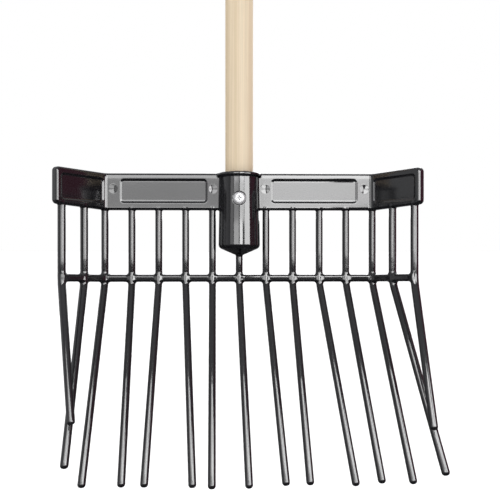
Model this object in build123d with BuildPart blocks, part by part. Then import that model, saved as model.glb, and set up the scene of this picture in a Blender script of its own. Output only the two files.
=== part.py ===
from build123d import *
import math
import os

# Bedding fork: a moulded plastic fork head with a wooden handle held by one screw.
# Millimetres. +Z up along the handle, -Y towards the load (concave) side, +X to the
# right when the load side faces the reader. Origin: socket mouth, on the handle's axis.

# ---------------------------------------------------------------- driving dimensions
# handle
HANDLE_D = 28.6            # 1-1/8 in ash or beech dowel
HANDLE_ABOVE = 1250.0      # straight length above the socket mouth
HANDLE_SEAT = 70.5         # tapered length inside the socket
SEAT_TIP_R = 13.2          # handle radius at the bottom of the taper
SEAT_GAP = 0.05            # radial gap between taper and socket bore
BUTT_R = 9.0               # rounding of the handle's top end

# socket
SOCKET_R_TOP = 20.1
SOCKET_R_BOTTOM = 21.3
SOCKET_SHOULDER_Z = -75.8  # where the straight wall would meet the bottom cone
SOCKET_TIP_Z = -83.4
SOCKET_TIP_R = 4.3
RIM_R = 22.4
RIM_H = 3.6

# screw
SCREW_Z = -26.8
SCREW_HEAD_D = 12.8
SCREW_HEAD_H = 3.2
SCREW_SEAT_Y = -19.3      # spot face on the front of the socket
SCREW_D = 4.8
SCREW_LENGTH = 30.0        # under the head
SCREW_POINT = 4.0

# head plate: two panels in one plane and two wings bent towards the load side
PLATE_T = 9.0
PLATE_H = 37.5
PLATE_EDGE_R = 2.8
CORNER_X = 137.5           # where the panel's mid-plane meets the wing's
WING_ANGLE = 54.5          # degrees away from the panel's plane
WING_L = 60.6              # from the corner to the wing's outer end
WING_RISE = 2.7            # the wing's lower edge rises this much towards its outer end
WING_END_R = 4.0           # rounded end corners, seen on the wing's face
RECESS_TOP = -5.8
RECESS_BOTTOM = -30.5
RECESS_DEPTH = 1.4
RECESS_R = 4.0
RECESS_DRAFT = 48.0
PANEL_RECESS_IN = 32.5     # recess from here ...
PANEL_RECESS_OUT = 121.3   # ... to here, measured from the handle's axis
WING_RECESS_IN = 5.2
WING_RECESS_OUT = 55.6
PIN_MARK_D = 8.2           # shallow round ejector marks
PIN_MARK_DEPTH = 0.5
PIN_MARK_Z = -16.0
PIN_MARK_IN = 26.6
PIN_MARK_OUT = 128.2

# tines
PITCH = 27.5               # between the tines of the flat part
WING_PITCH = 26.0          # between the tines of a wing, along the wing
BAR_W = 7.1                # section across the row
BAR_D = 8.0                # section through the row
TIP_W = 6.8
TIP_D = 7.0
TIP_R = 2.7
BEND_Z = -103.0            # where the upright bar ends and the forward bend starts
BEND_R = 30.0
SLOPE = 30.0               # final slope from the vertical, degrees
KNOT_FROM = 0.0            # part of the bend that belongs to the crossbar, degrees
KNOT_TO = 19.0
CROSS_AT = 8.2             # where on the bend the crossbar lies, degrees
BAR_TOP_Z = -33.5          # bars are rooted this high inside the plate
CROSS_H = 7.2
CROSS_D = 7.6
CROSS_EDGE_R = 2.4
CROSS_RISE = 1.4           # the crossbar rises this much per wing tine

# each tine: direction of its forward bend (degrees from straight ahead, + to the
# right) and its length along the curve from where the bend starts
TINES = {
    1: (24.5, 141.3), 2: (5.3, 180.1), 3: (2.4, 201.9), 4: (5.9, 201.9), 5: (1.1, 201.9),
    6: (9.0, 203.1), 7: (2.5, 203.8), 8: (5.0, 203.6), 9: (7.5, 201.9), 10: (3.4, 201.3),
    11: (10.4, 202.9), 12: (7.5, 200.7), 13: (7.1, 201.4), 14: (12.8, 188.5), 15: (-5.0, 145.5),
}

os.makedirs("parts", exist_ok=True)

ca = math.cos(math.radians(WING_ANGLE))
sa = math.sin(math.radians(WING_ANGLE))
z_top = Vector(0, 0, 1)


def base_of(k):
    """Foot of tine k on the plate's mid-plane: x, y, rise, and the row's direction there."""
    if 3 <= k <= 13:
        return (k - 8) * PITCH, 0.0, 0.0, Vector(1, 0, 0)
    side = -1 if k < 3 else 1
    n = (3 - k) if k < 3 else (k - 13)
    return (
        side * (CORNER_X + n * WING_PITCH * ca),
        -n * WING_PITCH * sa,
        CROSS_RISE * n,
        Vector(ca, -side * sa, 0),
    )


def bend_of(k):
    """Start of the bend, its forward direction and the axis it turns about."""
    x, y, rise, row = base_of(k)
    phi = math.radians(TINES[k][0])
    ahead = Vector(math.sin(phi), -math.cos(phi), 0)
    return Vector(x, y, BEND_Z + rise), ahead, row


def at_angle(k, deg):
    """Point on tine k's curve where it has turned by deg, and the way it points there."""
    start, ahead, row = bend_of(k)
    a = math.radians(deg)
    point = start + ahead * (BEND_R * (1 - math.cos(a))) - z_top * (BEND_R * math.sin(a))
    along = ahead * math.sin(a) - z_top * math.cos(a)
    return point, along


def section_plane(k, deg, run=0.0):
    """Plane square to tine k's curve: local x runs across the row."""
    start, ahead, row = bend_of(k)
    point, along = at_angle(k, deg)
    a = math.radians(deg)
    lifted = ahead * math.cos(a) + z_top * math.sin(a)
    side = Vector(-ahead.Y, ahead.X, 0)
    across = side * row.dot(side) + lifted * row.dot(ahead)
    return Plane(origin=point + along * run, x_dir=across, z_dir=along)


# ---------------------------------------------------------------- socket outline
def socket_outline():
    """Half profile of the socket's outside, in the XZ plane, on its axis."""
    with BuildSketch(Plane.XZ) as outline:
        with BuildLine():
            Polyline(
                (0, 0), (RIM_R, 0), (RIM_R, -RIM_H), (SOCKET_R_TOP, -RIM_H),
                (SOCKET_R_BOTTOM, SOCKET_SHOULDER_Z), (SOCKET_TIP_R, SOCKET_TIP_Z),
                (0, SOCKET_TIP_Z), (0, 0),
            )
        make_face()
        corners = outline.vertices()
        fillet([v for v in corners if abs(v.X - RIM_R) < 0.01], 1.5)
        fillet([v for v in outline.vertices() if abs(v.X - SOCKET_R_BOTTOM) < 0.01], 5.0)
        fillet([v for v in outline.vertices()
                if abs(v.X - SOCKET_R_TOP) < 0.01 and abs(v.Z + RIM_H) < 0.01], 0.9)
    return outline.sketch


outer_profile = socket_outline()

# ---------------------------------------------------------------- handle
with BuildPart() as handle:
    with BuildSketch(Plane.XZ):
        with BuildLine():
            Polyline(
                (0, -HANDLE_SEAT), (SEAT_TIP_R - 1.0, -HANDLE_SEAT), (SEAT_TIP_R, -HANDLE_SEAT + 1.0),
                (HANDLE_D / 2, 0), (HANDLE_D / 2, HANDLE_ABOVE - BUTT_R),
            )
            ThreePointArc(
                (HANDLE_D / 2, HANDLE_ABOVE - BUTT_R),
                (HANDLE_D / 2 - BUTT_R * (1 - math.cos(math.pi / 4)),
                 HANDLE_ABOVE - BUTT_R * (1 - math.sin(math.pi / 4))),
                (HANDLE_D / 2 - BUTT_R, HANDLE_ABOVE),
            )
            Polyline((HANDLE_D / 2 - BUTT_R, HANDLE_ABOVE), (0, HANDLE_ABOVE), (0, -HANDLE_SEAT))
        make_face()
    revolve(axis=Axis.Z)
    # pilot hole that the screw fills
    with BuildSketch(Plane((0, SCREW_SEAT_Y, SCREW_Z), x_dir=(1, 0, 0), z_dir=(0, 1, 0))):
        Circle(SCREW_D / 2)
    extrude(amount=SCREW_LENGTH - SCREW_POINT, mode=Mode.SUBTRACT)
    with BuildSketch(Plane((0, SCREW_SEAT_Y + SCREW_LENGTH - SCREW_POINT, SCREW_Z),
                           x_dir=(1, 0, 0), z_dir=(0, 1, 0))):
        Circle(SCREW_D / 2)
    with BuildSketch(Plane((0, SCREW_SEAT_Y + SCREW_LENGTH, SCREW_Z), x_dir=(1, 0, 0), z_dir=(0, 1, 0))):
        Circle(0.4)
    loft(mode=Mode.SUBTRACT)
handle.part.label = "handle"
export_step(handle.part, "parts/handle.step")

# ---------------------------------------------------------------- screw
with BuildPart() as handle_screw:
    with BuildSketch(Plane.YZ.offset(0)):
        with BuildLine():
            Polyline(
                (SCREW_SEAT_Y - SCREW_HEAD_H, SCREW_Z),
                (SCREW_SEAT_Y - SCREW_HEAD_H, SCREW_Z + 3.6),
            )
            ThreePointArc(
                (SCREW_SEAT_Y - SCREW_HEAD_H, SCREW_Z + 3.6),
                (SCREW_SEAT_Y - SCREW_HEAD_H + 0.75, SCREW_Z + 5.35),
                (SCREW_SEAT_Y - 0.7, SCREW_Z + SCREW_HEAD_D / 2),
            )
            Polyline(
                (SCREW_SEAT_Y - 0.7, SCREW_Z + SCREW_HEAD_D / 2),
                (SCREW_SEAT_Y, SCREW_Z + SCREW_HEAD_D / 2),
                (SCREW_SEAT_Y, SCREW_Z + SCREW_D / 2),
                (SCREW_SEAT_Y + SCREW_LENGTH - SCREW_POINT, SCREW_Z + SCREW_D / 2),
                (SCREW_SEAT_Y + SCREW_LENGTH, SCREW_Z + 0.4),
                (SCREW_SEAT_Y + SCREW_LENGTH, SCREW_Z),
                (SCREW_SEAT_Y - SCREW_HEAD_H, SCREW_Z),
            )
        make_face()
    revolve(axis=Axis((0, 0, SCREW_Z), (0, 1, 0)))
    # cross recess for the driver
    with BuildSketch(Plane((0, SCREW_SEAT_Y - SCREW_HEAD_H, SCREW_Z), x_dir=(1, 0, 0), z_dir=(0, 1, 0))):
        Rectangle(5.2, 1.15)
        Rectangle(1.15, 5.2)
        Circle(1.2)
    extrude(amount=1.9, taper=12, mode=Mode.SUBTRACT)
handle_screw.part.label = "handle_screw"
export_step(handle_screw.part, "parts/handle_screw.step")

# ---------------------------------------------------------------- socket
with BuildPart() as socket:
    add(outer_profile)
    revolve(axis=Axis.Z)
    # tapered blind bore for the handle
    with BuildSketch(Plane.XZ):
        with BuildLine():
            Polyline(
                (0, 0), (HANDLE_D / 2 + SEAT_GAP, 0), (SEAT_TIP_R + SEAT_GAP, -HANDLE_SEAT),
                (0, -HANDLE_SEAT), (0, 0),
            )
        make_face()
    revolve(axis=Axis.Z, mode=Mode.SUBTRACT)
    # spot face and hole for the screw
    with BuildSketch(Plane((0, -40, SCREW_Z), x_dir=(1, 0, 0), z_dir=(0, 1, 0))):
        Circle(SCREW_HEAD_D / 2 + 0.35)
    extrude(amount=40 + SCREW_SEAT_Y, mode=Mode.SUBTRACT)
    with BuildSketch(Plane((0, -40, SCREW_Z), x_dir=(1, 0, 0), z_dir=(0, 1, 0))):
        Circle(SCREW_D / 2)
    extrude(amount=40, mode=Mode.SUBTRACT)
socket.part.label = "socket"
export_step(socket.part, "parts/socket.step")


# ---------------------------------------------------------------- plate parts
def bar_column(k):
    """Root of an upright bar inside the plate, as a cutting solid's sketch plane."""
    x, y, rise, row = base_of(k)
    return Plane(origin=(x, y, BAR_TOP_Z + rise), x_dir=row, z_dir=(0, 0, -1))


PLATE_MID_Z = -PLATE_H / 2
RECESS_H = RECESS_TOP - RECESS_BOTTOM
RECESS_MID_Z = (RECESS_TOP + RECESS_BOTTOM) / 2

for side, label in ((-1, "left_panel"), (1, "right_panel")):
    with BuildPart() as panel:
        with BuildSketch(Plane((0, 0, PLATE_MID_Z), x_dir=(0, 1, 0), z_dir=(side, 0, 0))):
            RectangleRounded(PLATE_T, PLATE_H, PLATE_EDGE_R)
        extrude(amount=CORNER_X + 12)
        # mitred end, where the wing goes on
        split(
            bisect_by=Plane(
                origin=(side * CORNER_X, 0, 0),
                z_dir=(side * math.cos(math.radians(WING_ANGLE / 2)),
                       -math.sin(math.radians(WING_ANGLE / 2)), 0),
            ),
            keep=Keep.BOTTOM,
        )
        # the socket passes through the middle
        add(outer_profile)
        revolve(axis=Axis.Z, mode=Mode.SUBTRACT)
        # recessed field on the load side
        with BuildSketch(Plane((side * (PANEL_RECESS_IN + PANEL_RECESS_OUT) / 2, -PLATE_T / 2, RECESS_MID_Z),
                               x_dir=(1, 0, 0), z_dir=(0, 1, 0))):
            RectangleRounded(PANEL_RECESS_OUT - PANEL_RECESS_IN, RECESS_H, RECESS_R)
        extrude(amount=RECESS_DEPTH, taper=RECESS_DRAFT, mode=Mode.SUBTRACT)
        # ejector marks at both ends
        for x in (PIN_MARK_IN, PIN_MARK_OUT):
            with BuildSketch(Plane((side * x, -PLATE_T / 2, PIN_MARK_Z), x_dir=(1, 0, 0), z_dir=(0, 1, 0))):
                Circle(PIN_MARK_D / 2)
            extrude(amount=PIN_MARK_DEPTH, mode=Mode.SUBTRACT)
        # roots of the bars
        for k in range(9, 14) if side > 0 else range(3, 8):
            with BuildSketch(bar_column(k)):
                Ellipse(BAR_W / 2, BAR_D / 2)
            extrude(amount=20, mode=Mode.SUBTRACT)
    panel.part.label = label
    export_step(panel.part, "parts/" + label + ".step")

for side, label in ((-1, "left_wing"), (1, "right_wing")):
    along = Vector(side * ca, -sa, 0)
    front = Vector(-side * sa, -ca, 0)
    corner = Vector(side * CORNER_X, 0, 0)
    with BuildPart() as wing:
        face = Plane(
            origin=corner + along * (WING_L / 2) - front * (PLATE_T / 2) + z_top * PLATE_MID_Z,
            x_dir=along, z_dir=front,
        )
        # outline on the wing's own plane, longer at the corner so that it can be mitred
        end, far = WING_L / 2, -WING_L / 2 - 20
        low_end = -PLATE_H / 2 + WING_RISE
        low_far = -PLATE_H / 2 - WING_RISE * 20 / WING_L
        with BuildSketch(face) as wing_face:
            with BuildLine():
                Polyline(
                    (far, side * PLATE_H / 2), (end, side * PLATE_H / 2), (end, side * low_end),
                    (far, side * low_far), (far, side * PLATE_H / 2),
                )
            make_face()
            fillet([v for v in wing_face.vertices() if (v.center() - corner).dot(along) > 0], WING_END_R)
        extrude(amount=PLATE_T)
        faces_fb = [f for f in wing.faces().filter_by(GeomType.PLANE)
                    if abs(abs(f.normal_at().dot(front)) - 1) < 1e-6]
        fillet([e for f in faces_fb for e in f.edges()], PLATE_EDGE_R)
        split(
            bisect_by=Plane(
                origin=(side * CORNER_X, 0, 0),
                z_dir=(side * math.cos(math.radians(WING_ANGLE / 2)),
                       -math.sin(math.radians(WING_ANGLE / 2)), 0),
            ),
            keep=Keep.TOP,
        )
        # recessed field on the load side
        with BuildSketch(Plane(
            origin=corner + along * ((WING_RECESS_IN + WING_RECESS_OUT) / 2) + front * (PLATE_T / 2)
            + z_top * RECESS_MID_Z,
            x_dir=along, z_dir=front * -1,
        )):
            RectangleRounded(WING_RECESS_OUT - WING_RECESS_IN, RECESS_H, RECESS_R)
        extrude(amount=RECESS_DEPTH, taper=RECESS_DRAFT, mode=Mode.SUBTRACT)
        for k in (13, 14, 15) if side > 0 else (1, 2, 3):
            with BuildSketch(bar_column(k)):
                Ellipse(BAR_W / 2, BAR_D / 2)
            extrude(amount=20, mode=Mode.SUBTRACT)
    wing.part.label = label
    export_step(wing.part, "parts/" + label + ".step")

# ---------------------------------------------------------------- upright bars
for k in range(1, 16):
    start, ahead, row = bend_of(k)
    top = Vector(start.X, start.Y, SOCKET_TIP_Z if k == 8 else BAR_TOP_Z + start.Z - BEND_Z)
    with BuildPart() as bar:
        with BuildSketch(Plane(origin=top, x_dir=row, z_dir=(0, 0, -1))):
            Ellipse(BAR_W / 2, BAR_D / 2)
        extrude(amount=top.Z - start.Z)
    bar.part.label = "bar_%02d" % k
    export_step(bar.part, "parts/bar_%02d.step" % k)

# ---------------------------------------------------------------- tines
for k in range(1, 16):
    length = TINES[k][1]
    bent = BEND_R * math.radians(SLOPE)
    from_p, _ = at_angle(k, KNOT_TO)
    mid_p, _ = at_angle(k, (KNOT_TO + SLOPE) / 2)
    end_p, way = at_angle(k, SLOPE)
    with BuildPart() as tine:
        with BuildLine() as curve:
            ThreePointArc(from_p, mid_p, end_p)
        with BuildSketch(section_plane(k, KNOT_TO)):
            Ellipse(BAR_W / 2, BAR_D / 2)
        sweep(path=curve.wires()[0])
        with BuildSketch(section_plane(k, SLOPE)):
            Ellipse(BAR_W / 2, BAR_D / 2)
        with BuildSketch(section_plane(k, SLOPE, length - bent)):
            Ellipse(TIP_W / 2, TIP_D / 2)
        loft()
        tip_face = tine.faces().filter_by(GeomType.PLANE).sort_by(Axis.Z)[0]
        fillet(tip_face.edges(), TIP_R)
    tine.part.label = "tine_%02d" % k
    export_step(tine.part, "parts/tine_%02d.step" % k)


# ---------------------------------------------------------------- crossbar
def knot(k, mode=Mode.ADD):
    """The stretch of tine k that passes through the crossbar."""
    a, _ = at_angle(k, KNOT_FROM)
    b, _ = at_angle(k, (KNOT_FROM + KNOT_TO) / 2)
    c, _ = at_angle(k, KNOT_TO)
    with BuildLine() as through:
        ThreePointArc(a, b, c)
    with BuildSketch(section_plane(k, KNOT_FROM)) as oval:
        Ellipse(BAR_W / 2, BAR_D / 2)
    sweep(sections=oval.sketch, path=through.wires()[0], mode=mode)


def rod(start, end):
    """Straight run of the crossbar."""
    way = (end - start).normalized()
    level = Vector(-way.Y, way.X, 0).normalized()
    with BuildSketch(Plane(origin=start, x_dir=level, z_dir=way)) as bar_end:
        RectangleRounded(CROSS_D, CROSS_H, CROSS_EDGE_R)
    extrude(bar_end.sketch, amount=(end - start).length)


left_crossing, _ = at_angle(3, CROSS_AT)
right_crossing, _ = at_angle(13, CROSS_AT)
left_crossing = Vector(-CORNER_X, left_crossing.Y, left_crossing.Z)
right_crossing = Vector(CORNER_X, left_crossing.Y, left_crossing.Z)

with BuildPart() as crossbar_centre:
    rod(left_crossing, right_crossing)
    for k in range(3, 14):
        knot(k)
crossbar_centre.part.label = "crossbar_centre"
export_step(crossbar_centre.part, "parts/crossbar_centre.step")

for label, corner_point, order in (
    ("crossbar_left", left_crossing, (2, 1)),
    ("crossbar_right", right_crossing, (14, 15)),
):
    outer, _ = at_angle(order[1], CROSS_AT)
    with BuildPart() as crossbar_wing:
        rod(corner_point, outer)
        for k in order:
            knot(k)
        add(crossbar_centre.part, mode=Mode.SUBTRACT)
    crossbar_wing.part.label = label
    export_step(crossbar_wing.part, "parts/" + label + ".step")
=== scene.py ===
import math

import bmesh
import bpy
import numpy as np
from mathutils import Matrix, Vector


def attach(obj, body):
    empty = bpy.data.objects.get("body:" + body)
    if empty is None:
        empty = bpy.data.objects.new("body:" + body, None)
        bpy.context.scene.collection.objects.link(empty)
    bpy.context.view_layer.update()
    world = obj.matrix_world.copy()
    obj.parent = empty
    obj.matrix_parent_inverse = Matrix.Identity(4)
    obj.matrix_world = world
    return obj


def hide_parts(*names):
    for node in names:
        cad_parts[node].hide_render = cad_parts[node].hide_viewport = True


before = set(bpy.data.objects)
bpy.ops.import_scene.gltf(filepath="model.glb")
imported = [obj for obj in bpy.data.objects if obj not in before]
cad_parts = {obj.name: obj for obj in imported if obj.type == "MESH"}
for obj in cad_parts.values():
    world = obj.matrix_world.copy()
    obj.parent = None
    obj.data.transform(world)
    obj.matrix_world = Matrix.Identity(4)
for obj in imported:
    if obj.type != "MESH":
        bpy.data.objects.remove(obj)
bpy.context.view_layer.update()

MM = 0.001

# =====================================================================================
# Dimensions of the moulding, in millimetres, in the row frame. The same numbers as the
# CAD model: origin at the socket's mouth, +Z along the handle, -Y towards the load side.
# =====================================================================================
SOCKET_R_TOP, SOCKET_R_BOTTOM = 20.1, 21.3
SHOULDER_Z, TIP_Z, SOCKET_TIP_R = -75.8, -83.4, 4.3
RIM_R, RIM_H = 22.4, 3.6
BORE_TOP, BORE_BOTTOM, SEAT = 14.35, 13.25, 70.5
SCREW_Z, SCREW_HEAD_D, SCREW_SEAT_Y, SCREW_D = -26.8, 12.8, -19.3, 4.8
PLATE_T, PLATE_H, EDGE_R = 9.0, 37.5, 2.8
CORNER_X, WING_ANGLE, WING_L, WING_END_R, WING_RISE = 137.5, 54.5, 60.6, 4.0, 2.7
RECESS_TOP, RECESS_BOTTOM, RECESS_DEPTH, RECESS_R, DRAFT = -5.8, -30.5, 1.2, 4.0, 48.0
PANEL_IN, PANEL_OUT, WING_IN, WING_OUT = 32.5, 121.3, 5.2, 55.6
MARK_D, MARK_DEPTH, MARK_Z, MARK_IN, MARK_OUT = 8.2, 0.62, -16.0, 26.6, 128.2
CROWN = 0.016
PITCH, WING_PITCH = 27.5, 26.0
BAR_W, BAR_D, TIP_W, TIP_D, TIP_R = 7.1, 8.0, 6.8, 7.0, 2.7
BEND_Z, BEND_R, SLOPE = -103.0, 30.0, 30.0
CROSS_ANGLE = 8.2
CROSS_H, CROSS_D, CROSS_R, CROSS_RISE = 7.2, 7.6, 2.4, 1.4
BAR_TOP = -34.8            # roots of the uprights, just inside the plate's lower edge
TINES = {
    1: (24.5, 141.3), 2: (5.3, 180.1), 3: (2.4, 201.9), 4: (5.9, 201.9), 5: (1.1, 201.9),
    6: (9.0, 203.1), 7: (2.5, 203.8), 8: (5.0, 203.6), 9: (7.5, 201.9), 10: (3.4, 201.3),
    11: (10.4, 202.9), 12: (7.5, 200.7), 13: (7.1, 201.4), 14: (12.8, 188.5), 15: (-5.0, 145.5),
}

CA, SA = math.cos(math.radians(WING_ANGLE)), math.sin(math.radians(WING_ANGLE))
CH, SH = math.cos(math.radians(WING_ANGLE / 2)), math.sin(math.radians(WING_ANGLE / 2))


# =====================================================================================
# The moulding as a distance field. Every function takes an array of points, N by 3.
# =====================================================================================
def smin(a, b, k):
    h = np.maximum(k - np.abs(a - b), 0.0) / k
    return np.minimum(a, b) - h * h * k * 0.25


def smax(a, b, k):
    return -smin(-a, -b, k)


def plate_coords(p):
    """Across the plate (positive on the load side) and along it from the corner."""
    dx = np.abs(p[:, 0]) - CORNER_X
    y = p[:, 1]
    f_panel, f_wing = -y, -dx * SA - y * CA
    wing = dx * CH - y * SH > 0
    s = np.where(wing, dx * CA - y * SA, dx)
    m = np.minimum(f_panel, f_wing)
    k = 7.0 - 4.2 * np.clip((m + 3.0) / 6.0, 0, 1)
    return smin(f_panel, f_wing, k), s, wing


def pocket(f, u, v, u0, u1, draft=DRAFT):
    """A recessed field with drafted walls, cut into the load side."""
    r = RECESS_R
    qu = np.abs(u - (u0 + u1) / 2) - ((u1 - u0) / 2 - r)
    qv = np.abs(v - (RECESS_TOP + RECESS_BOTTOM) / 2) - ((RECESS_TOP - RECESS_BOTTOM) / 2 - r)
    o = np.hypot(np.maximum(qu, 0), np.maximum(qv, 0)) + np.minimum(np.maximum(qu, qv), 0) - r
    a = math.radians(draft)
    wall = o * math.cos(a) + (PLATE_T / 2 - f) * math.sin(a)
    return smax(wall, PLATE_T / 2 - RECESS_DEPTH - f, 1.1)


def plate(p):
    f, s, wing = plate_coords(p)
    z = p[:, 2]
    tall = (PLATE_H - np.maximum(s, 0.0) * WING_RISE / WING_L) / 2
    qs = s - (WING_L - WING_END_R)
    qz = np.abs(z + tall) - (tall - WING_END_R)
    o = np.hypot(np.maximum(qs, 0), np.maximum(qz, 0)) + np.minimum(np.maximum(qs, qz), 0) - WING_END_R
    w1, w2 = o + EDGE_R, np.abs(f) - (PLATE_T / 2 - EDGE_R)
    d = np.hypot(np.maximum(w1, 0), np.maximum(w2, 0)) + np.minimum(np.maximum(w1, w2), 0) - EDGE_R
    ax = np.abs(p[:, 0])
    front = f > 0
    # the load face is slightly crowned: it falls away towards the plate's upper edge
    v = np.maximum(z - RECESS_TOP, 0.0)
    d = np.where(front, smax(d, f - (PLATE_T / 2 - CROWN * v * v), 0.8), d)
    cut = np.where(wing, pocket(f, s, z, WING_IN, WING_OUT, 32.0), pocket(f, ax, z, PANEL_IN, PANEL_OUT))
    d = np.where(front, smax(d, -cut, 0.8), d)
    # ejector marks: shallow dishes with a soft lip
    ball = (MARK_D * MARK_D / 4 + MARK_DEPTH ** 2) / (2 * MARK_DEPTH)
    ring = 0.05 * np.exp(-((np.hypot(ax - MARK_IN, z - MARK_Z) - MARK_D / 2 - 0.5) / 0.55) ** 2)
    ring += 0.05 * np.exp(-((np.hypot(ax - MARK_OUT, z - MARK_Z) - MARK_D / 2 - 0.5) / 0.55) ** 2)
    d = np.where(front & ~wing, d - ring, d)
    for x in (MARK_IN, MARK_OUT):
        dish = np.sqrt((ax - x) ** 2 + (z - MARK_Z) ** 2 + (f - (PLATE_T / 2 - MARK_DEPTH + ball)) ** 2) - ball
        d = np.where(front & ~wing, smax(d, -dish, 0.6), d)
    return d


def socket(p):
    r = np.hypot(p[:, 0], p[:, 1])
    z = p[:, 2]
    side = r - (SOCKET_R_TOP + (-RIM_H - z) * (SOCKET_R_BOTTOM - SOCKET_R_TOP) / (-RIM_H - SHOULDER_Z))
    cr, cz = SOCKET_R_BOTTOM - SOCKET_TIP_R, SHOULDER_Z - TIP_Z
    n = math.hypot(cr, cz)
    cone = ((r - SOCKET_R_BOTTOM) * cz - (z - SHOULDER_Z) * cr) / n
    d = smax(side, cone, 3.2)
    d = smax(d, TIP_Z - z, 1.2)
    d = np.maximum(d, z + 0.4)
    q1, q2 = r - (RIM_R - 1.6), np.abs(z + RIM_H / 2) - (RIM_H / 2 - 1.6)
    rim = np.hypot(np.maximum(q1, 0), np.maximum(q2, 0)) + np.minimum(np.maximum(q1, q2), 0) - 1.6
    return smin(d, rim, 1.6)


def socket_cuts(d, p):
    """Bore for the handle, and the seat and hole for the screw."""
    r = np.hypot(p[:, 0], p[:, 1])
    z = p[:, 2]
    bore = smax(r - (BORE_TOP + z * (BORE_TOP - BORE_BOTTOM) / SEAT), -(z + SEAT), 0.4)
    d = smax(d, -bore, 1.1)
    rs = np.hypot(p[:, 0], z - SCREW_Z)
    seat = smax(rs - (SCREW_HEAD_D / 2 + 0.35), p[:, 1] - SCREW_SEAT_Y, 0.3)
    seat = np.where(p[:, 1] < 0, seat, 9.0)
    d = smax(d, -seat, 0.6)
    hole = np.where(p[:, 1] < 0, rs - SCREW_D / 2, 9.0)
    return np.maximum(d, -hole)


def base_of(k):
    if 3 <= k <= 13:
        return (k - 8) * PITCH, 0.0, 0.0, (1.0, 0.0)
    side = -1 if k < 3 else 1
    n = (3 - k) if k < 3 else (k - 13)
    return side * (CORNER_X + n * WING_PITCH * CA), -n * WING_PITCH * SA, CROSS_RISE * n, (CA, -side * SA)


class Tine:
    """One upright bar with the tine that goes on below it: a curve and its oval section."""

    def __init__(self, k):
        self.k = k
        x, y, rise, row = base_of(k)
        phi = math.radians(TINES[k][0])
        self.start = np.array([x, y, BEND_Z + rise])
        self.ahead = np.array([math.sin(phi), -math.cos(phi), 0.0])
        self.side = np.array([-self.ahead[1], self.ahead[0], 0.0])
        self.cs = row[0] * self.side[0] + row[1] * self.side[1]
        self.cl = row[0] * self.ahead[0] + row[1] * self.ahead[1]
        self.bent = BEND_R * math.radians(SLOPE)
        self.length = TINES[k][1]
        self.top = TIP_Z + 2.5 if k == 8 else BAR_TOP + rise

    def at(self, t):
        """Centre, direction and the 'lifted' normal at distance t along the curve."""
        if t <= 0:
            return self.start + np.array([0, 0, -t]), np.array([0, 0, -1.0]), self.ahead
        a = min(t / BEND_R, math.radians(SLOPE))
        z = np.array([0, 0, 1.0])
        c = self.start + self.ahead * BEND_R * (1 - math.cos(a)) - z * BEND_R * math.sin(a)
        along = self.ahead * math.sin(a) - z * math.cos(a)
        lifted = self.ahead * math.cos(a) + z * math.sin(a)
        return c + along * max(t - self.bent, 0.0), along, lifted

    def half(self, t):
        w = min(max((t - self.bent) / (self.length - self.bent), 0.0), 1.0)
        return BAR_W / 2 + (TIP_W - BAR_W) / 2 * w, BAR_D / 2 + (TIP_D - BAR_D) / 2 * w

    def field(self, p):
        q = p - self.start
        u = q @ self.side
        a, b = q @ self.ahead, -q[:, 2]
        ang = np.arctan2(b, BEND_R - a)
        lim = math.radians(SLOPE)
        straight, ended = ang <= 0, ang >= lim
        rho = np.hypot(BEND_R - a, b)
        w = np.where(straight, a, BEND_R - rho)
        t = np.where(straight, b, BEND_R * ang)
        c, along, lifted = self.at(self.bent)
        r = p - c
        w = np.where(ended, r @ lifted, w)
        t = np.where(ended, self.bent + r @ along, t)
        x1 = u * self.cs + w * self.cl
        y1 = -u * self.cl + w * self.cs
        f = np.clip((t - self.bent) / (self.length - self.bent), 0, 1)
        ha = BAR_W / 2 + (TIP_W - BAR_W) / 2 * f
        hb = BAR_D / 2 + (TIP_D - BAR_D) / 2 * f
        k0 = np.sqrt((x1 / ha) ** 2 + (y1 / hb) ** 2)
        k1 = np.sqrt((x1 / ha ** 2) ** 2 + (y1 / hb ** 2) ** 2) + 1e-9
        d = np.where(k0 > 0.05, k0 * (k0 - 1) / k1, -np.minimum(ha, hb))
        d = np.maximum(d, (self.top - p[:, 2]) * -1.0)
        return smax(d, t - self.length, 3.0)


tines = {k: Tine(k) for k in range(1, 16)}
CROSS_AT = math.radians(CROSS_ANGLE)


def crossing(k):
    return tines[k].at(BEND_R * CROSS_AT)[0]


_l, _r = crossing(3), crossing(13)
corner_l = np.array([-CORNER_X, _l[1], _l[2]])
corner_r = np.array([CORNER_X, _l[1], _l[2]])
RUNS = [(corner_l, corner_r), (corner_l, crossing(1)), (corner_r, crossing(15))]


def run(p, a, b):
    way = b - a
    n = np.linalg.norm(way)
    way = way / n
    level = np.array([-way[1], way[0], 0.0])
    level = level / np.linalg.norm(level)
    up = np.cross(level, way)
    q = p - a
    t = q @ way
    c1 = np.abs(q @ level) - (CROSS_D / 2 - CROSS_R)
    c2 = np.abs(q @ up) - (CROSS_H / 2 - CROSS_R)
    d = np.hypot(np.maximum(c1, 0), np.maximum(c2, 0)) + np.minimum(np.maximum(c1, c2), 0) - CROSS_R
    return np.maximum(d, np.maximum(-t, t - n))


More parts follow.
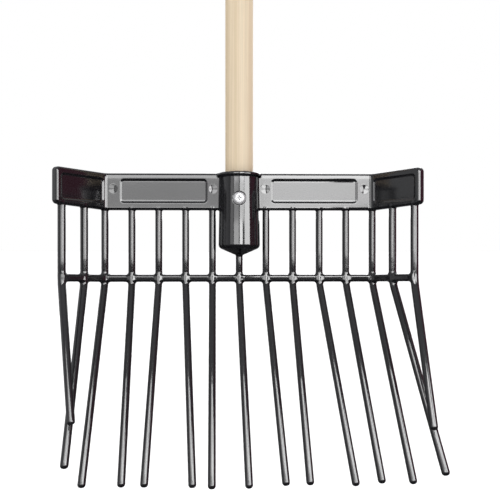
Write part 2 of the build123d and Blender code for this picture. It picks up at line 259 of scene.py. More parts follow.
def moulding(p, use_plate=True, use_socket=True, use_cross=True, ks=range(1, 16)):
    """Distance to the whole moulding's surface, negative inside."""
    d = np.full(len(p), 40.0)
    if use_plate:
        d = plate(p)
    if use_socket:
        near = np.abs(p[:, 0]) < 34
        if near.any():
            ps = p[near]
            d[near] = smin(d[near], socket(ps), 2.0)
    if use_cross:
        c = np.full(len(p), 40.0)
        for a, b in RUNS:
            c = np.minimum(c, run(p, a, b))
    for k in ks:
        t = tines[k]
        reach = 150.0 if k in (1, 15) else 60.0
        near = np.abs(p[:, 0] - t.start[0]) < reach
        if p[:, 2].min() > -130:
            near = np.abs(p[:, 0] - t.start[0]) < 13
        if not near.any():
            continue
        ps = p[near]
        dt = t.field(ps)
        d[near] = smin(d[near], dt, 1.8 if k == 8 else 1.4)
        if use_cross:
            c[near] = smin(c[near], dt, 3.3)
    if use_cross:
        d = np.minimum(d, c)
    if use_socket:
        near = np.abs(p[:, 0]) < 34
        if near.any():
            d[near] = socket_cuts(d[near], p[near])
    return d


def gradient(fn, p, h=0.02):
    g = np.empty_like(p)
    for i in range(3):
        e = np.zeros(3)
        e[i] = h
        g[:, i] = fn(p + e) - fn(p - e)
    n = np.linalg.norm(g, axis=1)
    n[n < 1e-9] = 1
    return g / n[:, None], n / (2 * h)


# =====================================================================================
# Surface of the field on a graded grid that may be turned: quads, then every vertex is
# moved onto the exact surface.
# =====================================================================================
def graded(lo, hi, coarse, fine=()):
    """Grid lines from lo to hi at the coarse step, with stretches (a, b, step) that are finer."""
    xs = [lo]
    while xs[-1] < hi:
        x = xs[-1]
        step = coarse
        for a, b, s in fine:
            if a <= x + 1e-6 < b:
                step = min(step, s)
            elif x < a < x + step:
                step = max(a - x, 0.2)
        xs.append(x + step)
    return np.array(xs)


def nets(fn, gx, gy, gz, ex, ey, origin):
    """Vertices and quads. ex, ey are the grid's horizontal axes in the row frame."""
    ex, ey, origin = (np.array(v, float) for v in (ex, ey, origin))
    ez = np.array([0, 0, 1.0])
    nx, ny, nz = len(gx), len(gy), len(gz)
    D = np.empty((nx, ny, nz), np.float32)
    Y, Z = np.meshgrid(gy, gz, indexing="ij")
    per = max(1, 400000 // (ny * nz))
    for i in range(0, nx, per):
        xs = gx[i:i + per]
        X = np.repeat(xs, ny * nz)
        Yr, Zr = np.tile(Y.ravel(), len(xs)), np.tile(Z.ravel(), len(xs))
        p = origin + X[:, None] * ex + Yr[:, None] * ey + Zr[:, None] * ez
        D[i:i + per] = fn(p).reshape(len(xs), ny, nz)
    ins = D < 0
    cnt = np.zeros((nx - 1, ny - 1, nz - 1), np.int8)
    for a in (0, 1):
        for b in (0, 1):
            for c in (0, 1):
                cnt += ins[a:nx - 1 + a, b:ny - 1 + b, c:nz - 1 + c]
    act = (cnt > 0) & (cnt < 8)
    I, J, K = np.nonzero(act)
    ids = np.full(act.shape, -1, np.int64)
    ids[I, J, K] = np.arange(len(I))
    tot = np.zeros((len(I), 3))
    num = np.zeros(len(I))
    G = (gx, gy, gz)
    for axis in range(3):
        for a in (0, 1):
            for b in (0, 1):
                o0 = [0, 0, 0]
                o1 = [0, 0, 0]
                oth = [q for q in range(3) if q != axis]
                o0[oth[0]] = o1[oth[0]] = a
                o0[oth[1]] = o1[oth[1]] = b
                o1[axis] = 1
                d0 = D[I + o0[0], J + o0[1], K + o0[2]].astype(float)
                d1 = D[I + o1[0], J + o1[1], K + o1[2]].astype(float)
                hit = (d0 < 0) != (d1 < 0)
                t = np.where(hit, d0 / np.where(hit, d0 - d1, 1), 0)
                pos = np.stack([gx[I + o0[0]], gy[J + o0[1]], gz[K + o0[2]]], 1)
                base = (I, J, K)[axis]
                g = G[axis]
                pos[:, axis] = g[base] + t * (g[base + 1] - g[base])
                tot += pos * hit[:, None]
                num += hit
    v = tot / num[:, None]
    quads = []
    for axis in range(3):
        oth = [q for q in range(3) if q != axis]
        n = [nx, ny, nz]
        sl0 = [slice(None)] * 3
        sl1 = [slice(None)] * 3
        sl0[axis], sl1[axis] = slice(0, n[axis] - 1), slice(1, n[axis])
        for q in oth:
            sl0[q] = sl1[q] = slice(1, n[q] - 1)
        s0, s1 = ins[tuple(sl0)], ins[tuple(sl1)]
        idx = np.argwhere(s0 != s1)
        if not len(idx):
            continue
        first = s0[tuple(idx.T)]
        idx = idx + np.array([0 if q == axis else 1 for q in range(3)])
        c = []
        for da, db in ((1, 1), (0, 1), (0, 0), (1, 0)):
            o = idx.copy()
            o[:, oth[0]] -= da
            o[:, oth[1]] -= db
            c.append(ids[o[:, 0], o[:, 1], o[:, 2]])
        q4 = np.stack(c, 1)
        flip = first if axis != 1 else ~first
        q4[~flip] = q4[~flip][:, ::-1]
        quads.append(q4)
    quads = np.concatenate(quads)
    w = origin + v[:, :1] * ex + v[:, 1:2] * ey + v[:, 2:] * ez
    for _ in range(3):
        d = fn(w)
        n, slope = gradient(fn, w)
        w = w - n * (np.clip(d / np.maximum(slope, 0.3), -0.45, 0.45))[:, None]
    return w, quads


def make_piece(name, verts, faces, cuts, fn, mats, replaced):
    """Cuts the surface by planes, caps it, gives it exact normals and registers it."""
    me = bpy.data.meshes.new(name)
    me.from_pydata(verts.tolist(), [], faces.tolist() if hasattr(faces, "tolist") else faces)
    bm = bmesh.new()
    bm.from_mesh(me)
    for co, no in cuts:
        geom = bm.verts[:] + bm.edges[:] + bm.faces[:]
        bmesh.ops.bisect_plane(bm, geom=geom, dist=1e-5, plane_co=co, plane_no=no, clear_outer=True)
        edges = [e for e in bm.edges if e.is_boundary]
        plane_n, plane_c = Vector(no).normalized(), Vector(co)
        edges = [e for e in edges if all(abs((v.co - plane_c).dot(plane_n)) < 1e-3 for v in e.verts)]
        if edges:
            bmesh.ops.holes_fill(bm, edges=edges, sides=0)
    bmesh.ops.remove_doubles(bm, verts=bm.verts[:], dist=1e-4)
    loose = [v for v in bm.verts if not v.link_faces]
    bmesh.ops.delete(bm, geom=loose, context="VERTS")
    bmesh.ops.recalc_face_normals(bm, faces=bm.faces[:])
    open_edges = sum(1 for e in bm.edges if not e.is_manifold)
    print("piece", name, "faces", len(bm.faces), "open edges", open_edges)
    bm.to_mesh(me)
    bm.free()
    return finish_piece(name, me, cuts, fn, mats, replaced)


def finish_piece(name, me, cuts, fn, mats, replaced):
    n = len(me.vertices)
    co = np.empty(n * 3, np.float32)
    me.vertices.foreach_get("co", co)
    co = co.reshape(n, 3).astype(float)
    vn, _ = gradient(fn, co)
    nl = len(me.loops)
    lv = np.empty(nl, np.int32)
    me.loops.foreach_get("vertex_index", lv)
    ln = vn[lv]
    nf = len(me.polygons)
    start = np.empty(nf, np.int32)
    total = np.empty(nf, np.int32)
    me.polygons.foreach_get("loop_start", start)
    me.polygons.foreach_get("loop_total", total)
    fn_ = np.empty(nf * 3, np.float32)
    me.polygons.foreach_get("normal", fn_)
    fn_ = fn_.reshape(nf, 3)
    owner = np.repeat(np.arange(nf), total)
    order = np.empty(nl, np.int64)
    order[:] = owner if (start == np.concatenate([[0], np.cumsum(total)[:-1]])).all() else owner
    fnl = fn_[order]
    # a cap keeps its own flat normal, and so does a corner whose field normal disagrees
    flat = (ln * fnl).sum(1) < 0.35
    for c, no in cuts:
        no = np.array(no, float)
        no = no / np.linalg.norm(no)
        on = np.abs((co[lv] - np.array(c, float)) @ no) < 2e-3
        flat |= on & ((fnl @ no) > 0.98)
    ln = np.where(flat[:, None], fnl, ln)
    co *= MM
    me.vertices.foreach_set("co", co.astype(np.float32).ravel())
    me.polygons.foreach_set("use_smooth", np.ones(nf, bool))
    me.update()
    me.normals_split_custom_set(ln.tolist())
    ob = bpy.data.objects.new(name, me)
    bpy.context.scene.collection.objects.link(ob)
    for m in mats:
        me.materials.append(m)
    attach(ob, "root")
    if replaced:
        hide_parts(*replaced)
    return ob


# =====================================================================================
# Materials
# =====================================================================================
def new_mat(name):
    m = bpy.data.materials.new(name)
    m.use_nodes = True
    nt = m.node_tree
    nt.nodes.clear()
    out = nt.nodes.new("ShaderNodeOutputMaterial")
    bsdf = nt.nodes.new("ShaderNodeBsdfPrincipled")
    nt.links.new(bsdf.outputs[0], out.inputs[0])
    return m, nt, bsdf


def node(nt, kind, **kw):
    n = nt.nodes.new(kind)
    for k, v in kw.items():
        if k.startswith("i_"):
            n.inputs[k[2:].replace("_", " ")].default_value = v
        else:
            setattr(n, k, v)
    return n


def ramp(nt, stops, src, interpolation="LINEAR"):
    r = nt.nodes.new("ShaderNodeValToRGB")
    r.color_ramp.interpolation = interpolation
    el = r.color_ramp.elements
    while len(el) < len(stops):
        el.new(0.5)
    for e, (pos, c) in zip(el, stops):
        e.position = pos
        e.color = c if len(c) == 4 else (*c, 1)
    nt.links.new(src, r.inputs[0])
    return r


def mapping(nt, scale):
    tc = nt.nodes.new("ShaderNodeTexCoord")
    mp = nt.nodes.new("ShaderNodeMapping")
    mp.inputs["Scale"].default_value = scale
    nt.links.new(tc.outputs["Object"], mp.inputs[0])
    return mp.outputs[0]


def plastic():
    """Glossy black moulded plastic: slight flow clouds, faint sink waves, fine orange peel."""
    m, nt, b = new_mat("black_moulded_plastic")
    b.inputs["IOR"].default_value = 1.5
    b.inputs["Specular IOR Level"].default_value = 0.5
    cloud = node(nt, "ShaderNodeTexNoise", i_Scale=1.0, i_Detail=4.0, i_Roughness=0.55)
    nt.links.new(mapping(nt, (22, 22, 30)), cloud.inputs["Vector"])
    c = ramp(nt, [(0.3, (0.0050, 0.0050, 0.0060)), (0.7, (0.0085, 0.0085, 0.0098))], cloud.outputs["Fac"])
    # scuffs: a few pale worn specks
    scuff = node(nt, "ShaderNodeTexNoise", i_Scale=1.0, i_Detail=8.0, i_Roughness=0.72)
    nt.links.new(mapping(nt, (260, 260, 90)), scuff.inputs["Vector"])
    sr = ramp(nt, [(0.66, (0, 0, 0)), (0.78, (1, 1, 1))], scuff.outputs["Fac"])
    mix = node(nt, "ShaderNodeMix", data_type="RGBA")
    nt.links.new(sr.outputs[0], mix.inputs["Factor"])
    nt.links.new(c.outputs[0], mix.inputs["A"])
    mix.inputs["B"].default_value = (0.028, 0.028, 0.030, 1)
    nt.links.new(mix.outputs["Result"], b.inputs["Base Color"])
    rr = ramp(nt, [(0.25, (0.075, 0.075, 0.075)), (0.75, (0.12, 0.12, 0.12))], cloud.outputs["Fac"])
    add = node(nt, "ShaderNodeMath", operation="MULTIPLY_ADD")
    nt.links.new(sr.outputs[0], add.inputs[0])
    add.inputs[1].default_value = 0.14
    nt.links.new(rr.outputs[0], add.inputs[2])
    nt.links.new(add.outputs[0], b.inputs["Roughness"])
    peel = node(nt, "ShaderNodeTexNoise", i_Scale=1.0, i_Detail=2.0, i_Roughness=0.5)
    nt.links.new(mapping(nt, (420, 420, 300)), peel.inputs["Vector"])
    wave = node(nt, "ShaderNodeTexNoise", i_Scale=1.0, i_Detail=1.0, i_Roughness=0.4)
    nt.links.new(mapping(nt, (38, 38, 60)), wave.inputs["Vector"])
    b1 = node(nt, "ShaderNodeBump", i_Strength=0.035, i_Distance=0.0002)
    nt.links.new(peel.outputs["Fac"], b1.inputs["Height"])
    b2 = node(nt, "ShaderNodeBump", i_Strength=0.28, i_Distance=0.0006)
    nt.links.new(wave.outputs["Fac"], b2.inputs["Height"])
    nt.links.new(b1.outputs[0], b2.inputs["Normal"])
    nt.links.new(b2.outputs[0], b.inputs["Normal"])
    return m


def wood():
    """Pale straight-grained hardwood: long growth bands, fine streaks and short dark flecks."""
    m, nt, b = new_mat("pale_hardwood")
    b.inputs["Specular IOR Level"].default_value = 0.18
    bands = node(nt, "ShaderNodeTexNoise", i_Scale=1.0, i_Detail=3.0, i_Roughness=0.55, i_Distortion=0.4)
    nt.links.new(mapping(nt, (95, 95, 1.6)), bands.inputs["Vector"])
    base = ramp(nt, [(0.30, (0.565, 0.455, 0.308)), (0.48, (0.633, 0.522, 0.370)), (0.70, (0.690, 0.597, 0.437))],
                bands.outputs["Fac"])
    streak = node(nt, "ShaderNodeTexNoise", i_Scale=1.0, i_Detail=6.0, i_Roughness=0.65)
    nt.links.new(mapping(nt, (900, 900, 7)), streak.inputs["Vector"])
    st = ramp(nt, [(0.35, (0.90, 0.90, 0.90)), (0.62, (1.03, 1.03, 1.03))], streak.outputs["Fac"])
    mul = node(nt, "ShaderNodeMix", data_type="RGBA", blend_type="MULTIPLY")
    mul.inputs["Factor"].default_value = 1.0
    nt.links.new(base.outputs[0], mul.inputs["A"])
    nt.links.new(st.outputs[0], mul.inputs["B"])
    fleck = node(nt, "ShaderNodeTexNoise", i_Scale=1.0, i_Detail=3.0, i_Roughness=0.6)
    nt.links.new(mapping(nt, (1500, 1500, 95)), fleck.inputs["Vector"])
    fr = ramp(nt, [(0.655, (0, 0, 0)), (0.72, (1, 1, 1))], fleck.outputs["Fac"])
    fm = node(nt, "ShaderNodeMath", operation="MULTIPLY")
    nt.links.new(fr.outputs[0], fm.inputs[0])
    fm.inputs[1].default_value = 0.45
    mix = node(nt, "ShaderNodeMix", data_type="RGBA")
    nt.links.new(fm.outputs[0], mix.inputs["Factor"])
    nt.links.new(mul.outputs["Result"], mix.inputs["A"])
    mix.inputs["B"].default_value = (0.52, 0.35, 0.22, 1)
    nt.links.new(mix.outputs["Result"], b.inputs["Base Color"])
    rr = ramp(nt, [(0.3, (0.50, 0.50, 0.50)), (0.7, (0.66, 0.66, 0.66))], streak.outputs["Fac"])
    nt.links.new(rr.outputs[0], b.inputs["Roughness"])
    bump = node(nt, "ShaderNodeBump", i_Strength=0.25, i_Distance=0.00012)
    nt.links.new(streak.outputs["Fac"], bump.inputs["Height"])
    nt.links.new(bump.outputs[0], b.inputs["Normal"])
    return m


def zinc():
    """Bright zinc plating with faint turning marks and a slightly dull spangle."""
    m, nt, b = new_mat("bright_zinc")
    b.inputs["Metallic"].default_value = 0.3
    n1 = node(nt, "ShaderNodeTexNoise", i_Scale=1.0, i_Detail=3.0)
    nt.links.new(mapping(nt, (700, 700, 700)), n1.inputs["Vector"])
    c = ramp(nt, [(0.3, (0.325, 0.325, 0.33)), (0.7, (0.375, 0.375, 0.38))], n1.outputs["Fac"])
    nt.links.new(c.outputs[0], b.inputs["Base Color"])
    rr = ramp(nt, [(0.3, (0.40, 0.40, 0.40)), (0.7, (0.48, 0.48, 0.48))], n1.outputs["Fac"])
    nt.links.new(rr.outputs[0], b.inputs["Roughness"])
    bump = node(nt, "ShaderNodeBump", i_Strength=0.12, i_Distance=0.0001)
    nt.links.new(n1.outputs["Fac"], bump.inputs["Height"])
    nt.links.new(bump.outputs[0], b.inputs["Normal"])
    return m


MAT_PLASTIC, MAT_WOOD, MAT_ZINC = plastic(), wood(), zinc()

# =====================================================================================
# The moulding's pieces
# =====================================================================================
Z_BAR_TOP, Z_BAR_END, Z_TINE = -40.4, -96.6, -114.6
SPLIT_X = 31.8
zs_plate = graded(-41.6, 0.8, 1.7, [(-41.6, -39.2, 0.8), (-39.2, -33.8, 0.45), (-32.2, -29.0, 0.42),
                                    (-21.5, -10.5, 0.5), (-7.4, -4.4, 0.42), (-3.4, 0.8, 0.42)])
ys_plate = graded(-6.0, 6.0, 1.0, [(-6.0, -0.6, 0.42), (2.2, 6.0, 0.55)])


def fn_head(p):
    return moulding(p, use_cross=False)


def panel(side, name):
    bars = [side * PITCH * n for n in (2, 3, 4, 5)]
    fine = [(31.0, 38.4, 0.5), (119.2, 137.5 + 4.5, 0.5)]
    fine += [(abs(b) - 6.0, abs(b) + 6.0, 0.8) for b in bars]
    gx = graded(30.6, 143.5, 1.8, fine)
    fn = lambda p: moulding(p, use_cross=False, use_socket=False, ks=(3, 4, 5, 6, 7) if side < 0 else (9, 10, 11, 12, 13))
    ex = (side, 0, 0)
    v, q = nets(fn, gx, ys_plate, zs_plate, ex, (0, 1, 0), (0, 0, 0))
    if side < 0:
        q = q[:, ::-1]
    cuts = [((0, 0, Z_BAR_TOP), (0, 0, -1)), ((side * SPLIT_X, 0, 0), (-side, 0, 0)),
            ((side * CORNER_X, 0, 0), (side * CH, -SH, 0))]
    return make_piece(name, v, q, cuts, fn, [MAT_PLASTIC],
                      ["left_panel" if side < 0 else "right_panel"])


def wing(side, name):
    along = (side * CA, -SA, 0)
    back = (side * SA, CA, 0)
    fine = [(-6.0, 10.0, 0.5), (20.0, 32.0, 0.8), (46.0, 54.0, 0.8), (54.0, 63.0, 0.45)]
    gx = graded(-6.0, 63.0, 1.6, fine)
    fn = lambda p: moulding(p, use_cross=False, use_socket=False, ks=(1, 2, 3) if side < 0 else (13, 14, 15))
    v, q = nets(fn, gx, ys_plate, zs_plate, along, back, (side * CORNER_X, 0, 0))
    if side < 0:
        q = q[:, ::-1]
    cuts = [((0, 0, Z_BAR_TOP), (0, 0, -1)), ((side * CORNER_X, 0, 0), (-side * CH, SH, 0))]
    return make_piece(name, v, q, cuts, fn, [MAT_PLASTIC],
                      ["left_wing" if side < 0 else "right_wing"])


def hub():
    fine_x = [(-33.0, -15.0, 0.55), (15.0, 33.0, 0.55), (-8.0, 8.0, 0.5)]
    gx = graded(-33.0, 33.2, 0.9, fine_x)
    gy = graded(-25.4, 25.4, 0.9, [(-25.4, -12.0, 0.55), (-6.2, 6.2, 0.55), (12.0, 25.4, 0.7)])
    gz = graded(-98.4, 1.0, 1.2, [(-90.0, -68.0, 0.7), (-41.5, -33.0, 0.5), (-36.0, -10.0, 0.6), (-8.0, 1.0, 0.45)])
    fn = lambda p: moulding(p, use_cross=False, ks=(7, 8, 9))
    v, q = nets(fn, gx, gy, gz, (1, 0, 0), (0, 1, 0), (0, 0, 0))
    # the uprights beside the socket and below it are pieces of their own
    cuts = [((-SPLIT_X, 0, 0), (-1, 0, 0)), ((SPLIT_X, 0, 0), (1, 0, 0)), ((0, 0, -89.5), (0, 0, -1))]
    side_cut = (np.abs(v[q].mean(1)[:, 0]) > 22.8) & (v[q].mean(1)[:, 2] < -44.0)
    q = q[~side_cut]
    me = bpy.data.meshes.new("moulded_socket")
    me.from_pydata(v.tolist(), [], q.tolist())
    bm = bmesh.new()
    bm.from_mesh(me)
    for co, no in cuts:
        bmesh.ops.bisect_plane(bm, geom=bm.verts[:] + bm.edges[:] + bm.faces[:], dist=1e-5,
                               plane_co=co, plane_no=no, clear_outer=True)
        edges = [e for e in bm.edges if e.is_boundary
                 and all(abs((w.co - Vector(co)).dot(Vector(no))) < 1e-3 for w in e.verts)]
        bmesh.ops.holes_fill(bm, edges=edges, sides=0)
    # stubs of the two uprights: cut level and closed
    stub = [f for f in bm.faces if f.calc_center_median().z < -38.5 and abs(f.calc_center_median().x) > 22.4]
    g = set(stub)
    for f in stub:
        g.update(f.edges)
        g.update(f.verts)
    bmesh.ops.bisect_plane(bm, geom=list(g), dist=1e-5, plane_co=(0, 0, Z_BAR_TOP), plane_no=(0, 0, -1),
                           clear_outer=False)
    low = [f for f in bm.faces if f.calc_center_median().z < Z_BAR_TOP and abs(f.calc_center_median().x) > 22.6]
    bmesh.ops.delete(bm, geom=low, context="FACES")
    edges = [e for e in bm.edges if e.is_boundary and all(abs(w.co.z - Z_BAR_TOP) < 1e-3 for w in e.verts)]
    bmesh.ops.holes_fill(bm, edges=edges, sides=0)
    bmesh.ops.delete(bm, geom=[w for w in bm.verts if not w.link_faces], context="VERTS")
    bmesh.ops.recalc_face_normals(bm, faces=bm.faces[:])
    print("piece moulded_socket faces", len(bm.faces), "open edges", sum(1 for e in bm.edges if not e.is_manifold))
    bm.to_mesh(me)
    bm.free()
    return finish_piece("moulded_socket", me, cuts + [((0, 0, Z_BAR_TOP), (0, 0, -1))], fn, [MAT_PLASTIC],
                        ["socket"])


RUN_CUT = 7.2


def cross_centre():
    fine = []
    for n in range(-5, 6):
        fine.append((n * PITCH - 8.5, n * PITCH + 8.5, 0.62))
    gx = graded(-146.0, 146.0, 1.3, fine)
    gy = graded(-16.5, 6.0, 0.62)
    gz = graded(-116.0, -95.4, 0.62)
    fn = lambda p: moulding(p, use_plate=False, use_socket=False, ks=range(3, 14))
    v, q = nets(fn, gx, gy, gz, (1, 0, 0), (0, 1, 0), (0, 0, 0))
    cuts = [((0, 0, Z_TINE), (0, 0, -1)), ((0, 0, Z_BAR_END), (0, 0, 1))]
    for side, c in ((-1, corner_l), (1, corner_r)):
        way = np.array([side * CA, -SA, 0])
        cuts.append((tuple(c + way * RUN_CUT), tuple(way)))
    return make_piece("moulded_crossbar_centre", v, q, cuts, fn, [MAT_PLASTIC], ["crossbar_centre"])


def cross_wing(side, name):
    c = corner_l if side < 0 else corner_r
    gx = graded(4.5, 62.0, 1.2, [(15.0, 37.0, 0.62), (41.0, 62.0, 0.62)])
    gy = graded(-13.0, 13.0, 0.62)
    gz = graded(-116.0, -95.4, 0.62)
    fn = lambda p: moulding(p, use_plate=False, use_socket=False, ks=(1, 2, 3) if side < 0 else (13, 14, 15))
    v, q = nets(fn, gx, gy, gz, (side * CA, -SA, 0), (side * SA, CA, 0), (c[0], c[1], 0))
    if side < 0:
        q = q[:, ::-1]
    way = np.array([side * CA, -SA, 0])
    cuts = [((0, 0, Z_TINE), (0, 0, -1)), ((0, 0, Z_BAR_END), (0, 0, 1)),
            (tuple(c + way * RUN_CUT), tuple(-way))]
    return make_piece(name, v, q, cuts, fn, [MAT_PLASTIC], [name.replace("moulded_", "")])


def rings_to_piece(name, rings, tip, fn, cuts, replaced):
    """Closed tube through rings of points, with a flat cap on top and a cap or a point below."""
    n = len(rings[0])
    verts = [p for r in rings for p in r]
    faces = []
    for j in range(len(rings) - 1):
        for i in range(n):
            a, b = j * n + i, j * n + (i + 1) % n
            faces.append((a, b, b + n, a + n))
    faces.append(tuple(range(n - 1, -1, -1)))
    last = (len(rings) - 1) * n
    if tip is None:
        faces.append(tuple(range(last, last + n)))
    else:
        verts.append(tip)
        for i in range(n):
            faces.append((last + i, last + (i + 1) % n, len(verts) - 1))
    me = bpy.data.meshes.new(name)
    me.from_pydata([tuple(v) for v in verts], [], faces)
    bm = bmesh.new()
    bm.from_mesh(me)
    bmesh.ops.recalc_face_normals(bm, faces=bm.faces[:])
    bm.to_mesh(me)
    bm.free()
    return finish_piece(name, me, cuts, fn, [MAT_PLASTIC], replaced)


def ring_points(t, centre, normal, fn, n, free):
    """Section of tine t by the plane through centre square to normal, found along rays."""
    side = np.cross(normal, t.ahead)
    side = np.array([t.side[0] * t.cs + t.ahead[0] * t.cl, t.side[1] * t.cs + t.ahead[1] * t.cl, 0.0])
    side = side - normal * (side @ normal)
    side /= np.linalg.norm(side)
    other = np.cross(normal, side)
    th = np.arange(n) * 2 * math.pi / n
    u = np.cos(th)[:, None] * side * (BAR_W / 2) + np.sin(th)[:, None] * other * (BAR_D / 2)
    u /= np.linalg.norm(u, axis=1)[:, None]
    r = np.full(n, 3.2)
    for _ in range(12):
        p = centre + u * r[:, None]
        r = r - np.clip(t.field(p) if free else fn(p), -1.5, 1.5) * 0.95
        r = np.clip(r, 0.05, 9.0)
    return centre + u * r[:, None]


SEG = 40


def bar(k):
    t = tines[k]
    fn = lambda p: moulding(p, use_socket=(k == 8), ks=(k,))
    top = -89.5 if k == 8 else Z_BAR_TOP
    if k in (1, 2, 14, 15):
        zs = [top, top - 0.8, top - 2.2]
    else:
        zs = [top, top - 0.8, top - 2.2]
    z = zs[-1]
    while z > Z_BAR_END + 6.5:
        z -= 4.0 if z > -88 else 1.5
        zs.append(z)
    zs = [q for q in zs if q > Z_BAR_END + 1.0] + [Z_BAR_END + 0.7, Z_BAR_END]
    rings = []
    for z in zs:
        dz = t.start[2] - z
        s = dz if dz <= 0 else BEND_R * math.asin(dz / BEND_R)
        c = t.at(s)[0]
        rings.append(ring_points(t, c, np.array([0, 0, 1.0]), fn, SEG, False))
    return rings_to_piece("moulded_bar_%02d" % k, rings, None, fn,
                          [((0, 0, top), (0, 0, 1)), ((0, 0, Z_BAR_END), (0, 0, -1))], ["bar_%02d" % k])


def tine(k):
    t = tines[k]
    fn = lambda p: moulding(p, use_plate=False, use_socket=False, ks=(k,))
    dz = t.start[2] - Z_TINE
    s0 = BEND_R * math.asin(min(dz / BEND_R, math.sin(math.radians(SLOPE))))
    if dz > BEND_R * math.sin(math.radians(SLOPE)):
        s0 = t.bent + (dz - BEND_R * math.sin(math.radians(SLOPE))) / math.cos(math.radians(SLOPE))
    end = t.length - TIP_R
    ss = [s0]
    while ss[-1] < end - 4.6:
        d = ss[-1] - s0
        ss.append(ss[-1] + (0.9 if d < 2.7 else 1.8 if d < 16 else 4.0))
    ss.append(end)
    rings = []
    for s in ss:
        c, along, lifted = t.at(s)
        w = min((s - s0) / 14.0, 1.0)
        w = w * w * (3 - 2 * w)
        nrm = np.array([0, 0, -1.0]) * (1 - w) + along * w
        nrm /= np.linalg.norm(nrm)
        rings.append(ring_points(t, c, nrm, fn, SEG, s - s0 > 8.0))
    c, along, lifted = t.at(end)
    full = rings[-1] - c
    for f in (0.22, 0.42, 0.6, 0.75, 0.87, 0.95, 0.99):
        ang = f * math.pi / 2
        scale = 1 - (TIP_R / 3.2) * (1 - math.cos(ang))
        rings.append(c + along * TIP_R * math.sin(ang) + full * scale)
    tip = t.at(t.length)[0] + along * 0.02
    return rings_to_piece("moulded_tine_%02d" % k, rings, tip, fn,
                          [((0, 0, Z_TINE), (0, 0, 1))], ["tine_%02d" % k])


panel(-1, "moulded_left_panel")
panel(1, "moulded_right_panel")
wing(-1, "moulded_left_wing")
wing(1, "moulded_right_wing")
hub()
cross_centre()
cross_wing(-1, "moulded_crossbar_left")
cross_wing(1, "moulded_crossbar_right")
for k in range(1, 16):
    bar(k)
    tine(k)

# =====================================================================================
# Handle: a turned dowel, very slightly uneven, with a rounded butt
# =====================================================================================
def handle():
    n = 96
    prof = [(12.0, -70.5), (13.2, -69.5)]
    prof += [(13.2 + (14.3 - 13.2) * (z + 69.5) / 69.5, z) for z in (-50, -25, -8)]
    prof += [(14.3, z) for z in np.concatenate([[0.0, 2.0, 6.0], np.arange(12, 1238, 14.0), [1236.0, 1241.0]])]
    for a in range(1, 9):
        ang = a / 8 * math.pi / 2
        prof.append((14.3 - 9.0 * (1 - math.cos(ang)), 1241.0 + 9.0 * math.sin(ang)))
    verts, faces = [], []
    for r, z in prof:
        for i in range(n):
            th = 2 * math.pi * i / n
            # a dowel dries a little out of round, and its line wanders by a few hundredths
            e = 0.0 if z < 1 or z > 1240 else 0.05 * math.cos(2 * th + 0.4 + z * 0.0021) + 0.03 * math.sin(z * 0.0113 + 1.3)
            e = min(e, 0.0) if z > 0 else 0.0
            verts.append(((r + e) * math.cos(th), (r + e) * math.sin(th), z))
    m = len(prof)
    for j in range(m - 1):
        for i in range(n):
            a, b = j * n + i, j * n + (i + 1) % n
            faces.append((a, b, b + n, a + n))
    faces.append(tuple(range(n - 1, -1, -1)))
    faces.append(tuple(range((m - 1) * n, m * n)))
    me = bpy.data.meshes.new("wooden_handle")
    me.from_pydata([(x * MM, y * MM, z * MM) for x, y, z in verts], [], faces)
    me.polygons.foreach_set("use_smooth", np.array([len(f) == 4 for f in faces]))
    me.update()
    me.materials.append(MAT_WOOD)
    ob = bpy.data.objects.new("wooden_handle", me)
    bpy.context.scene.collection.objects.link(ob)
    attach(ob, "root")
    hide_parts("handle")


handle()
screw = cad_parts["handle_screw"]
screw.data.materials.clear()
screw.data.materials.append(MAT_ZINC)

# =====================================================================================
# Stage: pale floor, soft light, camera
# =====================================================================================
scene = bpy.context.scene
scene.view_settings.view_transform = "Standard"
scene.view_settings.look = "None"

fm, fnt, fb = new_mat("pale_floor")
fb.inputs["Base Color"].default_value = (0.67, 0.67, 0.67, 1)
fb.inputs["Roughness"].default_value = 0.8
fn1 = node(fnt, "ShaderNodeTexNoise", i_Scale=3.0)
fr1 = ramp(fnt, [(0.3, (0.66, 0.66, 0.66)), (0.7, (0.68, 0.68, 0.68))], fn1.outputs["Fac"])
fnt.links.new(fr1.outputs[0], fb.inputs["Base Color"])
bpy.ops.mesh.primitive_plane_add(size=200, location=(0, 0, -0.46))
floor = bpy.context.object
floor.name = "stage_floor"
floor.data.materials.append(fm)
floor.visible_glossy = False


def softbox(name, centre, target, size, radiance, glossy=True, diffuse=False, colour=(1, 1, 1), spread=180):
    """A rectangular soft light. Its power follows from the wanted brightness of its face."""
    ld = bpy.data.lights.new(name, "AREA")
    ld.shape = "RECTANGLE"
    ld.size, ld.size_y = size
    ld.energy = radiance * math.pi * size[0] * size[1] * 1.0
    ld.color = colour
    ld.spread = math.radians(spread)
    ob = bpy.data.objects.new(name, ld)
    bpy.context.scene.collection.objects.link(ob)
    ob.location = centre
    d = Vector(target) - Vector(centre)
    ob.rotation_euler = d.to_track_quat("-Z", "Y").to_euler()
    ob.visible_camera = False
    ob.visible_glossy = glossy
    ob.visible_diffuse = diffuse
    return ob


# glossy side: softboxes round the camera that the plastic mirrors
def front_box(name, x0, x1, z0, z1, radiance):
    cx, cz = (x0 + x1) / 2, (z0 + z1) / 2
    softbox(name, (cx, -0.575, cz), (cx, 0, cz), (x1 - x0, z1 - z0), radiance)


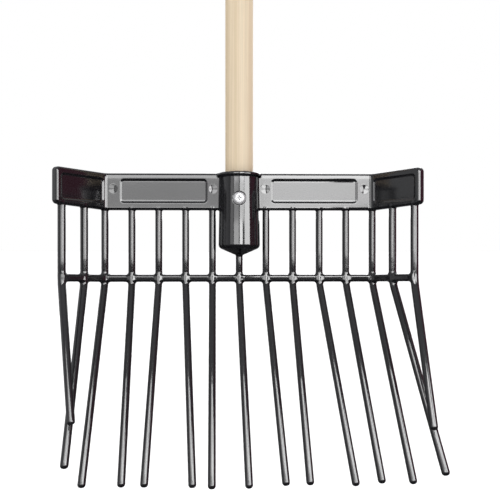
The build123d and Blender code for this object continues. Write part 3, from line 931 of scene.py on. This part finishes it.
front_box("box_right_low", 0.030, 0.195, -0.100, 0.000, 18.0)
front_box("box_right_mid", 0.030, 0.298, 0.000, 0.085, 11.5)
front_box("box_right_top", 0.030, 0.298, 0.085, 0.340, 18.0)
front_box("box_left_low", -0.320, -0.020, -0.100, 0.000, 8.0)
front_box("box_left_mid", -0.320, -0.020, 0.000, 0.085, 4.4)
front_box("box_left_top", -0.320, -0.020, 0.085, 0.340, 10.0)
softbox("box_far_right", (0.454, -0.462, 0.03), (0, 0, 0.03), (0.35, 0.27), 14.0)
softbox("box_far_left", (-0.430, -0.500, 0.03), (0, 0, 0.03), (0.20, 0.27), 2.0)
# back side, so that the other views have highlights too
softbox("box_back", (0.25, 0.9, 0.25), (0, 0, -0.05), (0.7, 0.5), 4.0)
# diffuse side: wide soft key and fill
softbox("key", (0.7, -2.4, 0.5), (0, 0, 0.3), (2.2, 3.2), 1.0, glossy=False, diffuse=True)
softbox("back_fill", (-0.8, 2.6, 0.6), (0, 0, 0.3), (2.4, 3.0), 0.9, glossy=False, diffuse=True)

sun_d = bpy.data.lights.new("overhead", "SUN")
sun_d.energy = 3.6
sun_d.angle = math.radians(80)
sun = bpy.data.objects.new("overhead", sun_d)
scene.collection.objects.link(sun)
sun.visible_glossy = False

world = bpy.data.worlds.new("studio")
scene.world = world
world.use_nodes = True
wn = world.node_tree
wn.nodes.clear()
w_out = wn.nodes.new("ShaderNodeOutputWorld")
w_white = wn.nodes.new("ShaderNodeBackground")
w_white.inputs[0].default_value = (1, 1, 1, 1)
w_white.inputs[1].default_value = 1.0
w_dim = wn.nodes.new("ShaderNodeBackground")
w_dim.inputs[1].default_value = 1.0
tc = wn.nodes.new("ShaderNodeTexCoord")
sep = wn.nodes.new("ShaderNodeSeparateXYZ")
wn.links.new(tc.outputs["Generated"], sep.inputs[0])
r = ramp(wn, [(0.0, (0.95, 0.96, 0.98)), (0.16, (0.34, 0.34, 0.35)), (0.89, (0.30, 0.30, 0.31)), (0.955, (0.40, 0.10, 0.17)), (1.0, (0.40, 0.10, 0.17))],
         sep.outputs[0])
mr = wn.nodes.new("ShaderNodeMapRange")
mr.inputs["From Min"].default_value = -1
wn.links.new(sep.outputs[0], mr.inputs["Value"])
wn.links.new(mr.outputs[0], r.inputs[0])
low = ramp(wn, [(0.30, (0.16, 0.16, 0.16)), (0.47, (0.9, 0.9, 0.9)), (0.72, (1.0, 1.0, 1.0)), (0.92, (2.6, 2.6, 2.6))],
           sep.outputs[0])
mz = wn.nodes.new("ShaderNodeMapRange")
mz.inputs["From Min"].default_value = -1
wn.links.new(sep.outputs[2], mz.inputs["Value"])
wn.links.new(mz.outputs[0], low.inputs[0])
w_mul = wn.nodes.new("ShaderNodeMix")
w_mul.data_type = "RGBA"
w_mul.blend_type = "MULTIPLY"
w_mul.inputs["Factor"].default_value = 1.0
wn.links.new(r.outputs[0], w_mul.inputs["A"])
wn.links.new(low.outputs[0], w_mul.inputs["B"])
wn.links.new(w_mul.outputs["Result"], w_dim.inputs[0])
lp = wn.nodes.new("ShaderNodeLightPath")
w_mix = wn.nodes.new("ShaderNodeMixShader")
wn.links.new(lp.outputs["Is Camera Ray"], w_mix.inputs[0])
wn.links.new(w_dim.outputs[0], w_mix.inputs[1])
wn.links.new(w_white.outputs[0], w_mix.inputs[2])
wn.links.new(w_mix.outputs[0], w_out.inputs[0])

cam_d = bpy.data.cameras.new("camera")
cam_d.sensor_width = 36
cam_d.lens = 537 / 500 * 36
cam_d.clip_start = 0.01
cam = bpy.data.objects.new("camera", cam_d)
scene.collection.objects.link(cam)
cam.location = (0, -0.553, -0.0783)
cam.rotation_euler = (math.radians(90), 0, math.radians(-1.15))
scene.camera = cam

bpy.context.view_layer.update()
